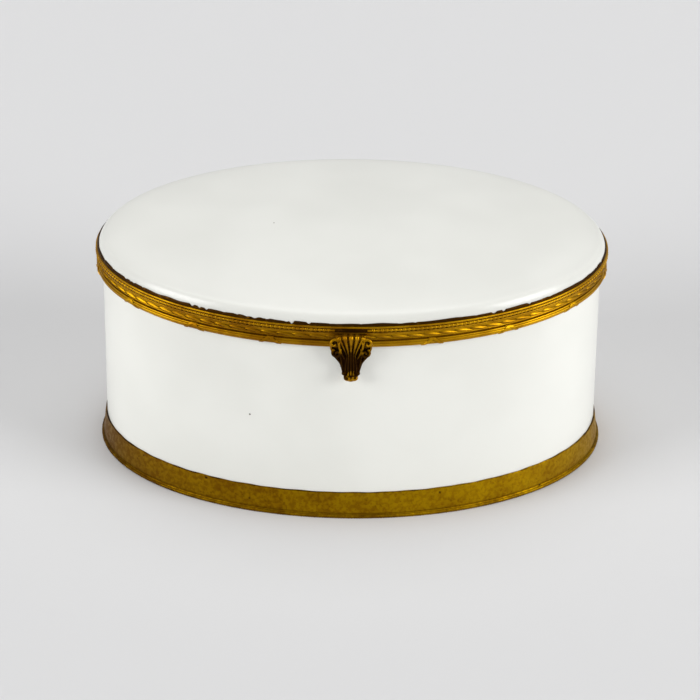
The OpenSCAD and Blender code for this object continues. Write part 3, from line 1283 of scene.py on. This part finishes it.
@dataclass
class LidPanel(SubAssembly):
    """The domed porcelain panel and the bezel that holds it.

    Attributes:
        upright: Height of the panel's upright edge.
        roll: Radius of its rolled edge.
        steep: Steepest slope of the roll, in degrees.
        ease_slope: Slope at which the roll starts to ease into the dome, in degrees.
        ease_radius: Turning radius at which it has become the dome.
        crown: Rise of the dome inside the roll.
        thick: Thickness in the middle.
        flange_in: How far the dome's underside starts inside the panel's edge.
        bites: Places where the bezel's edge has broken away: angle, width and depth.
    """

    upright: float = 3.1
    roll: float = 5.0
    steep: float = 75.0
    ease_slope: float = 34.0
    ease_radius: float = 62.0
    crown: float = 4.0
    thick: float = 4.4
    flange_in: float = 8.75
    bites: tuple[tuple[float, float, float], ...] = (
        (-127.5, 0.6, 0.75), (-125.5, 0.5, 0.5), (-123.6, 0.5, 0.6), (-103.0, 0.5, 0.8),
        (-99.3, 0.5, 0.6), (-57.0, 0.7, 0.6), (-54.4, 0.5, 0.7), (-47.0, 0.6, 0.5), (-151.0, 0.7, 0.4),
        (38.0, 0.6, 0.6), (41.0, 0.8, 0.5), (97.0, 0.6, 0.6), (136.0, 0.5, 0.7), (-12.0, 0.6, 0.5),
    )

    def build(self) -> None:
        """Builds the panel and the bezel."""
        low, high = box_mm("lid_panel")
        edge = low.z + self.upright
        steep = math.radians(self.steep)
        centre = (high.x - self.roll * math.sin(steep), edge - self.roll * math.cos(steep))
        slope = 2 * math.atan(self.crown / centre[0])
        dome = (centre[0] + self.roll * math.sin(slope)) / math.sin(slope)
        shoulder = centre[1] + self.roll * math.cos(slope)
        dome_centre = (0, shoulder - dome * math.cos(slope))
        roll = arc(centre, self.roll, 90 - self.steep, 90 - self.ease_slope, 12)
        inward = math.degrees(math.asin(self.ease_radius / dome))
        crown = arc(dome_centre, dome, 90 - inward, 90, 22)
        ease = bend(roll[-1], self.ease_slope, crown[0], inward, 14)
        under_r = high.x - self.flange_in
        under_h = shoulder + self.crown - self.thick - low.z
        under_slope = 2 * math.atan(under_h / under_r)
        under = under_r / math.sin(under_slope)
        under_centre = (0, low.z + under_h - under)
        hollow = arc(under_centre, under, 90, 90 - math.degrees(under_slope), 12)[1:]
        section = [
            (0, low.z + under_h), *hollow, (high.x, low.z), *roll, *ease[1:-1], *crown[:-1],
            (0, shoulder + self.crown),
        ]
        self.fit(turned("lid_panel_shape", self.oval, section), Carrier.LID, Slot.PORCELAIN)
        self._bezel(high.x, edge)

    def _bezel(self, panel: float, edge: float) -> None:
        """Builds the bezel, whose upper edge is uneven where it was rubbed over.

        Args:
            panel: Turning radius of the panel's upright edge.
            edge: Height at which the panel starts to roll.
        """
        low, high = box_mm("lid_bezel")
        rng = random.Random(11)
        chips = [(rng.uniform(-180, 180), rng.uniform(0.3, 0.9), rng.uniform(0.08, 0.3)) for _ in range(90)]
        waves = [(rng.randint(9, 60), rng.uniform(0, 6.28), rng.uniform(0.02, 0.06)) for _ in range(7)]

        def rubbed(radius: float, height: float, angle: float) -> Point:
            """Lowers the upper edge by the wear at an angle."""
            turn = (math.degrees(angle) + 180) % 360 - 180
            loss = 0.04 + 0.17 * math.cos(angle + 0.2)
            loss += sum(size * (1 + math.sin(times * angle + phase)) for times, phase, size in waves)
            for place, width, depth in (*self.bites, *chips):
                off = abs(turn - place) / width
                if off < 1:
                    loss += depth * (1 - off * off)
            share = min(1.0, max(0.0, (height - (high.z - 1.6)) / 1.2))
            return radius, height - min(loss, 1.5) * share

        section = [
            (panel, low.z), (high.x, low.z), (high.x, edge - 1.2), (high.x, high.z - 1.0),
            (high.x - 0.06, high.z - 0.45), (high.x - 0.22, high.z - 0.16), (high.x - 0.42, high.z),
            (panel + 0.06, high.z - 0.02), (panel - 0.06, high.z - 0.14), (panel, high.z - 0.5),
        ]
        piece = turned("lid_bezel_shape", self.oval, section, steps=1440, ripple=rubbed)
        self.fit(piece, Carrier.LID, Slot.BEZEL)


@dataclass
class LidFrame(SubAssembly):
    """The flat ring that carries the panel, and the flange that drops into the mouth.

    Attributes:
        flange: Thickness of the flange.
    """

    flange: float = 0.75

    def build(self) -> None:
        """Builds the ring and the flange, and dresses the plaster."""
        low, high = box_mm("lid_frame")
        _, flange = box_mm("lid_flange")
        inner = flange.x
        section = eased([(inner, low.z), (high.x, low.z), (high.x, high.z), (inner, high.z)], 0.25)
        self.fit(turned("lid_frame_shape", self.oval, section), Carrier.LID, Slot.RIM)
        foot = box_mm("lid_flange")[0].z
        section = eased(
            [
                (inner - self.flange, foot + 0.3), (inner - 0.3, foot), (inner, foot + 0.3),
                (inner, flange.z), (inner - self.flange, flange.z),
            ],
            0.12,
        )
        self.fit(turned("lid_flange_shape", self.oval, section), Carrier.LID, Slot.RIM)
        self.dress_node("lid_bedding", Slot.PLASTER)


@dataclass
class LidBorder(SubAssembly):
    """The leaf border, the row of beads and the plain wire over them.

    Attributes:
        leaves: Number of leaves once round.
        beads: Number of beads once round.
        leaf_length: Length of a leaf.
        leaf_drop: How far a leaf falls from its root to its tip.
        leaf_relief: How far a leaf stands out.
        tang_half_width: Half width of the thumb piece's tang.
    """

    leaves: int = 85
    beads: int = 314
    leaf_length: float = 6.6
    leaf_drop: float = 0.75
    leaf_relief: float = 0.64
    tang_half_width: float = 5.6

    def build(self) -> None:
        """Builds the three rings."""
        self._border()
        self._bead_row()
        self._plain_wire()

    def _border(self) -> None:
        """Builds the hollow ring and the leaves that run along its lower half."""
        low, high = box_mm("leaf_border")
        _, carrier = box_mm("lid_frame")
        _, bezel = box_mm("lid_bezel")
        inner = carrier.x
        out = high.x
        section = [
            (inner, low.z), (inner + 0.36, low.z), (inner + 0.40, low.z + 0.12),
            (inner + 0.30, low.z + 0.26), (inner + 0.12, low.z + 0.40), (inner + 0.12, low.z + 1.45),
            (inner + 0.30, low.z + 1.62), (inner + 0.40, low.z + 1.72), (inner + 0.33, low.z + 1.95),
            (inner + 0.36, low.z + 2.2),
            (inner + 0.50, high.z - 0.38), (out - 0.12, high.z - 0.22), (out - 0.06, high.z - 0.10),
            (out - 0.16, high.z), (bezel.x, high.z), (bezel.x, carrier.z), (inner, carrier.z),
        ]
        ring = turned(
            "leaf_border_shape", self.oval, section, gap=Gap(Side.BACK, Hinge.clear), steps=720
        )
        length = self.oval.perimeter(inner)
        pitch = length / self.leaves
        skipped = math.ceil((Hinge.clear + self.leaf_length / 2 + 0.2) / pitch - 0.5)
        row = Row(
            inner, low.z, self.leaves - 2 * skipped, pitch, (skipped + 0.5) * pitch, Side.BACK, 0.03, 7
        )
        finish = self.finishes.by_slot[Slot.GILT]
        self.strips.stamp(ring, self._leaf(), row, self.oval, finish)
        self.fit(ring, Carrier.LID, Slot.GILT)

    def _leaf(self) -> bpy.types.Object:
        """One leaf: a slim lens with a ridge, high at its root and thin at its tip.

        Returns:
            The pattern shape, in strip coordinates above the border's lower edge.
        """
        rows, lanes = 11, 7
        points = []
        for i in range(rows):
            t = i / (rows - 1)
            along = (t - 0.5) * self.leaf_length
            middle = 1.36 - self.leaf_drop * t**1.1 + 0.08 * math.sin(2 * math.pi * t)
            wide = 0.05 + 0.62 * math.sin(math.pi * t**0.75) ** 0.7
            ridge = self.leaf_relief * (0.15 + 0.85 * math.sin(math.pi * t**0.7) ** 0.8)
            for j in range(lanes):
                u = 2 * j / (lanes - 1) - 1
                points.append((along, 0.20 + ridge * (1 - abs(u) ** 1.3), max(0.04, middle + u * wide)))
        faces = lattice(rows, lanes)
        back = len(points)
        for i in range(rows):
            for j in (0, lanes - 1):
                points.append((points[i * lanes + j][0], 0.05, points[i * lanes + j][2]))
        for i in range(rows - 1):
            b = back + 2 * i
            faces.append((i * lanes, (i + 1) * lanes, b + 2, b))
            faces.append(((i + 1) * lanes - 1, b + 1, b + 3, (i + 2) * lanes - 1))
            faces.append((b, b + 2, b + 3, b + 1))
        faces.append((*range(lanes), back + 1, back))
        last = (rows - 1) * lanes
        faces.append((*range(last, last + lanes), back + 2 * rows - 1, back + 2 * rows - 2))
        return mesh_piece("leaf", points, faces)

    def _bead_row(self) -> None:
        """Builds the wire that carries the beads, broken where the tang is soldered."""
        low, high = box_mm("bead_wire")
        radius = (high.z - low.z) / 2
        _, bezel = box_mm("lid_bezel")
        centre = (bezel.x, low.z + radius)
        gap = self.tang_half_width + 0.1
        nose = arc(centre, radius * 0.62, -90, 90, 10)
        ring = turned(
            "bead_wire_shape", self.oval, [*nose, (bezel.x - 0.02, centre[1])], gap=Gap(Side.FRONT, gap)
        )
        length = self.oval.perimeter(centre[0])
        pitch = length / self.beads
        skipped = math.ceil((gap + radius) / pitch)
        row = Row(
            *centre, self.beads - 2 * skipped + 1, pitch, skipped * pitch, Side.FRONT, worn=0.08, seed=9
        )
        mesh = bpy.data.meshes.new("bead")
        work = bmesh.new()
        turn = Matrix.Rotation(math.pi / 2, 4, "X")
        bmesh.ops.create_uvsphere(
            work, u_segments=8, v_segments=6, radius=radius * 0.97 * MM, matrix=turn
        )
        work.to_mesh(mesh)
        work.free()
        mesh.shade_smooth()
        bead = bpy.data.objects.new("bead", mesh)
        bpy.context.scene.collection.objects.link(bead)
        self.strips.stamp(ring, bead, row, self.oval, self.finishes.by_slot[Slot.GILT])
        self.fit(ring, Carrier.LID, Slot.GILT)

    def _plain_wire(self) -> None:
        """Builds the plain bright wire over the beads."""
        low, high = box_mm("lid_fillet_wire")
        _, bezel = box_mm("lid_bezel")
        half = (high.z - low.z) / 2
        nose = arc((high.x - half, low.z + half), half, -90, 90, 10)
        section = [(bezel.x, low.z), *nose, (bezel.x, high.z)]
        self.fit(turned("lid_fillet_wire_shape", self.oval, section), Carrier.LID, Slot.GILT)


@dataclass
class ThumbPiece(SubAssembly):
    """The cast leaf at the front of the lid, with scrolls at its corners and a curled bud.

    Attributes:
        outline: Down the leaf, as shares of its length: half width of the plate, half width of the
            fluted middle, and how far that stands out.
        ribs: Number of ribs across the fan.
        plate: Thickness of the plate.
        stand: How far the plate's back lies behind the casting's foremost point.
        grain: Size of the grid that the casting is remeshed on.
    """

    outline: tuple[tuple[float, float, float, float], ...] = (
        (0.00, 5.2, 5.5, 1.7), (0.05, 6.2, 5.3, 2.15), (0.12, 6.9, 4.8, 1.85), (0.22, 6.9, 3.8, 1.8),
        (0.30, 6.8, 3.0, 1.7), (0.38, 6.5, 2.3, 1.5), (0.45, 5.6, 1.9, 1.3), (0.53, 4.8, 2.0, 1.3),
        (0.66, 3.8, 2.3, 1.2), (0.77, 3.25, 2.4, 1.1), (0.86, 2.9, 2.2, 1.2), (0.92, 2.4, 2.0, 1.2),
        (0.97, 1.7, 1.7, 1.0), (1.00, 1.0, 1.2, 0.8),
    )
    ribs: int = 5
    plate: float = 0.55
    stand: float = 2.9
    grain: float = 0.12

    def __post_init__(self) -> None:
        """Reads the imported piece's box and places the plate's back in it."""
        self.low, self.high = box_mm("thumb_piece")
        self.back = self.low.y + self.stand

    def build(self) -> None:
        """Builds the casting and finishes it."""
        points: list = []
        faces: list = []
        for part_points, part_faces in (self._leaf(), *self._scrolls(), *self._bud(), self._tang()):
            start = len(points)
            points += part_points
            faces += [tuple(start + i for i in face) for face in part_faces]
        piece = mesh_piece("thumb_piece_shape", points, faces)
        remesh = piece.modifiers.new("cast", "REMESH")
        remesh.mode = "VOXEL"
        remesh.voxel_size = self.grain * MM
        remesh.use_smooth_shade = True
        soften = piece.modifiers.new("soften", "SMOOTH")
        soften.factor = 0.5
        soften.iterations = 2
        settle(piece)
        self._keep_in_box(piece)
        piece.data.shade_smooth()
        self.fit(piece, Carrier.LID, Slot.GILT, self.finishes.thumb)

    def _keep_in_box(self, piece: bpy.types.Object) -> None:
        """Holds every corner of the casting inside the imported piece's box."""
        places = np.zeros(len(piece.data.vertices) * 3, np.float32)
        piece.data.vertices.foreach_get("co", places)
        places = np.clip(places.reshape(-1, 3), np.array(self.low) * MM, np.array(self.high) * MM)
        piece.data.vertices.foreach_set("co", places.astype(np.float32).ravel())
        piece.data.update()

    def _relief(self, x: float, v: float, spread: float, out: float) -> float:
        """How far the front stands out of the plate.

        Args:
            x: Distance from the middle.
            v: Share of the length from the top.
            spread: Half width of the fluted middle there.
            out: How far its middle stands out there.

        Returns:
            The relief in millimetres.
        """
        w = x / spread
        if abs(w) > 1.15:
            return 0.10
        rib = abs(math.cos(math.pi * w * self.ribs / 2)) ** 0.6
        flute = min(1.1, 0.36 * spread)
        dome = max(0.0, 1 - 0.5 * abs(w) ** 2.6)
        wave = 0.12 * math.sin(14 * v + 0.4) * (1 - abs(w))
        edge = max(0.0, (abs(w) - 0.9) / 0.25)
        return max(0.10, (out * dome - flute * (1 - rib) + wave) * (1 - edge) + 0.1 * edge)

    def _leaf(self) -> tuple[list, list]:
        """The fluted leaf: a fan of ribs that draw together towards the bud, on its plate."""
        downs, halves, spreads, outs = (np.array(column) for column in zip(*self.outline))
        length = self.high.z - self.low.z
        rows, lanes = 90, 91
        points = []
        for i in range(rows):
            v = i / (rows - 1)
            half, spread, out = (float(np.interp(v, downs, column)) for column in (halves, spreads, outs))
            for j in range(lanes):
                x = half * (2 * j / (lanes - 1) - 1)
                w = min(1.0, abs(x / spread))
                scallop = 0.75 * abs(math.cos(math.pi * w * self.ribs / 2)) ** 0.6 - 0.75 - 1.5 * w**3
                height = self.high.z - v * length + scallop * max(0.0, 1 - v / 0.14)
                depth = self.plate + self._relief(x, v, spread, out)
                points.append((x, self.back - depth, height))
        front = len(points)
        points += [(x, self.back, z) for x, _, z in points]
        faces = lattice(rows, lanes) + lattice(rows, lanes, front)
        rim = [*range(lanes), *(i * lanes + lanes - 1 for i in range(1, rows))]
        rim += [(rows - 1) * lanes + j for j in range(lanes - 2, -1, -1)]
        rim += [i * lanes for i in range(rows - 2, 0, -1)]
        for a, b in zip(rim, rim[1:] + rim[:1]):
            faces.append((a, b, front + b, front + a))
        return points, faces

    def _curl(
        self, eye: Point, radius: float, start: float, turns: float, thick: float, hand: int
    ) -> tuple[list, list]:
        """A rolled scroll.

        Args:
            eye: X and depth below the top of its eye.
            radius: Radius of its outer turn.
            start: Angle of its outer end in degrees.
            turns: Number of turns inwards, negative to run clockwise.
            thick: Radius of the bar at the outer end.
            hand: 1 on the right side and -1 on the left.

        Returns:
            The corners and the faces.
        """
        path, radii = [], []
        for t in np.linspace(0, 1, 37).tolist():
            turn = math.radians(start + 360 * turns * t)
            reach = radius * (0.10 + 0.90 * (1 - t) ** 0.8)
            x = eye[0] + reach * math.cos(turn)
            z = self.high.z - eye[1] + reach * math.sin(turn)
            path.append(Vector((hand * x, self.back - 1.2 - 0.75 * t, z)))
            radii.append(thick * (1 - 0.35 * t))
        return tube(path, radii)

    def _vein(
        self, ends: Sequence[tuple[float, float, float]], bow: float, thick: float, hand: int
    ) -> tuple[list, list]:
        """A long raised vein that bows outwards between two ends.

        Args:
            ends: X, depth below the top, and how far out it lies, at each end.
            bow: How far its middle bows out.
            thick: Radius at its upper end.
            hand: 1 on the right side and -1 on the left.

        Returns:
            The corners and the faces.
        """
        path, radii = [], []
        first, last = (np.array(end) for end in ends)
        for t in np.linspace(0, 1, 19).tolist():
            x, down, out = first + (last - first) * t
            x += bow * math.sin(math.pi * t)
            path.append(Vector((hand * x, self.back - out, self.high.z - down)))
            radii.append(thick * (1 - 0.55 * t))
        return tube(path, radii)

    def _scrolls(self) -> list[tuple[list, list]]:
        """The scrolls at the corners and the veins that run on from them."""
        made = []
        for hand in (-1, 1):
            made.append(self._curl((5.85, 3.3), 1.85, 190, -1.0, 0.58, hand))
            made.append(self._curl((4.95, 7.2), 1.65, 60, -1.2, 0.55, hand))
            made.append(self._vein([(6.9, 4.2, 1.0), (6.1, 7.4, 1.0)], 0.35, 0.5, hand))
            made.append(self._vein([(4.3, 2.6, 1.9), (2.2, 9.6, 1.4)], 0.5, 0.5, hand))
            made.append(self._vein([(3.6, 5.4, 1.5), (2.9, 12.6, 0.9)], 0.35, 0.45, hand))
            made.append(self._vein([(5.6, 8.6, 0.9), (2.9, 13.2, 0.8)], -0.2, 0.5, hand))
        return made

    def _knob(self, place: Sequence[float], size: Sequence[float]) -> tuple[list, list]:
        """A rounded lump.

        Args:
            place: Its middle, from the top of the plate's back.
            size: Its half sizes along X, Y and Z.

        Returns:
            The corners and the faces.
        """
        rings, sides = 9, 14
        points = []
        for i in range(rings + 1):
            lat = math.pi * i / rings
            for k in range(sides):
                lon = 2 * math.pi * k / sides
                points.append(
                    (
                        place[0] + size[0] * math.sin(lat) * math.cos(lon),
                        self.back + place[1] + size[1] * math.sin(lat) * math.sin(lon),
                        self.high.z + place[2] + size[2] * math.cos(lat),
                    )
                )
        return points, lattice(rings + 1, sides, round_lanes=True)

    def _bud(self) -> list[tuple[list, list]]:
        """The curled tip: two lobes under a small cross roll, with a drop below."""
        foot = self.low.z - self.high.z
        made = [self._knob((hand * 1.25, -1.45, foot + 1.75), (1.3, 1.3, 1.2)) for hand in (-1, 1)]
        made.append(self._knob((0, -1.1, foot + 1.05), (1.35, 1.1, 1.0)))
        made += [self._knob((hand * 2.5, -0.9, foot + 3.2), (0.75, 0.8, 0.75)) for hand in (-1, 1)]
        return made

    def _tang(self) -> tuple[list, list]:
        """The flat behind the leaf that is soldered to the lid's border."""
        half = LidBorder.tang_half_width - 0.1
        low = box_mm("leaf_border")[0].z + 0.15
        reach = self.high.y
        corners = [
            (x, y, z) for x in (-half, half) for y in (self.back - 0.5, reach) for z in (low, low + 2.1)
        ]
        faces = [(0, 1, 3, 2), (4, 6, 7, 5), (0, 4, 5, 1), (2, 3, 7, 6), (0, 2, 6, 4), (1, 5, 7, 3)]
        return corners, faces


# ---------- The studio ----------


@dataclass
class Studio:
    """A plain pale floor, soft light and the camera.

    Attributes:
        distance: Distance of the camera from its target, in metres.
        elevation: Its angle above the horizon, in degrees.
        roll: How far it leans, in degrees.
        lens: Its focal length for a sensor 36 mm wide.
        target: What it looks at, in millimetres.
    """

    distance: float = 1.2935
    elevation: float = 29.97
    roll: float = 0.519
    lens: float = 181.0
    target: tuple[float, float, float] = (-0.36, 0.0, 34.18)

    def build(self) -> None:
        """Builds the floor, the lights and the camera."""
        self._floor()
        self._lights()
        self._camera()
        bpy.context.scene.view_settings.view_transform = "Standard"

    def _floor(self) -> None:
        """Lays a wide pale sheet on the floor, which sweeps up far behind."""
        width, near, far, sweep = 6.0, -3.0, 1.4, 1.2
        line = [(near, 0.0), (far, 0.0)]
        for i in range(1, 17):
            turn = math.pi / 2 * i / 16
            line.append((far + sweep * math.sin(turn), sweep * (1 - math.cos(turn))))
        line.append((far + sweep, 4.0))
        points = [(side * width / 2, y, z) for y, z in line for side in (-1, 1)]
        faces = [(2 * i, 2 * i + 1, 2 * i + 3, 2 * i + 2) for i in range(len(line) - 1)]
        mesh = bpy.data.meshes.new("floor")
        mesh.from_pydata(points, [], faces)
        mesh.shade_smooth()
        floor = bpy.data.objects.new("floor", mesh)
        bpy.context.scene.collection.objects.link(floor)
        sheet = FinishSheet("pale_floor")
        far_off = sheet.ranged(sheet.axis("Y"), -0.25, 0.9)
        tone = sheet.blend(far_off, (0.70, 0.70, 0.705), (0.845, 0.845, 0.85))
        mesh.materials.append(sheet.shade(Base_Color=tone, Roughness=0.9, Specular_IOR_Level=0.1))

    def _softbox(self, name: str, place: Sequence[float], size: Point, power: float) -> None:
        """Hangs a softbox that faces the box.

        Args:
            name: Name of the light.
            place: Its middle, in metres.
            size: Its width and height, in metres.
            power: Its power in watts.
        """
        lamp = bpy.data.lights.new(name, "AREA")
        lamp.shape = "RECTANGLE"
        lamp.size, lamp.size_y = size
        lamp.energy = power
        holder = bpy.data.objects.new(name, lamp)
        holder.location = place
        aim = Vector((0, 0, 0.04)) - Vector(place)
        holder.rotation_mode = "QUATERNION"
        holder.rotation_quaternion = aim.to_track_quat("-Z", "Y")
        bpy.context.scene.collection.objects.link(holder)

    def _lights(self) -> None:
        """Lights the box from both sides in front, from above, and a little from all round."""
        self._softbox("key_right", (1.8, -0.85, 0.8), (1.1, 1.1), 31.5)
        self._softbox("fill_left", (-1.8, -0.85, 0.8), (1.1, 1.1), 27)
        self._softbox("overhead", (0.0, 0.4, 2.0), (2.0, 1.6), 13)
        world = bpy.data.worlds.new("room")
        world.use_nodes = True
        world.node_tree.nodes["Background"].inputs["Color"].default_value = (1, 1, 1, 1)
        world.node_tree.nodes["Background"].inputs["Strength"].default_value = 0.295
        bpy.context.scene.world = world

    def _camera(self) -> None:
        """Sets up the camera."""
        lens = bpy.data.cameras.new("camera")
        lens.sensor_width = 36.0
        lens.lens = self.lens
        lens.clip_start = 0.05
        holder = bpy.data.objects.new("camera", lens)
        rise = math.radians(self.elevation)
        back = Vector((0, -math.cos(rise), math.sin(rise)))
        holder.location = Vector(self.target) * MM + self.distance * back
        holder.rotation_mode = "QUATERNION"
        lean = Quaternion((0, 0, 1), math.radians(self.roll))
        holder.rotation_quaternion = (-back).to_track_quat("-Z", "Y") @ lean
        bpy.context.scene.collection.objects.link(holder)
        bpy.context.scene.camera = holder


def main() -> None:
    """Builds the studio and every sub-assembly in order."""
    logging.basicConfig(level=logging.INFO, format="%(name)s: %(message)s", stream=sys.stdout)
    Studio().build()
    shared = (Oval.of_node("porcelain_body"), Finishes(), StripTree())
    for kind in (Vessel, BaseBand, BodyRim, Hinge, LidFrame, LidPanel, LidBorder, ThumbPiece):
        kind(*shared).build()


if __name__ == "__main__":
    main()
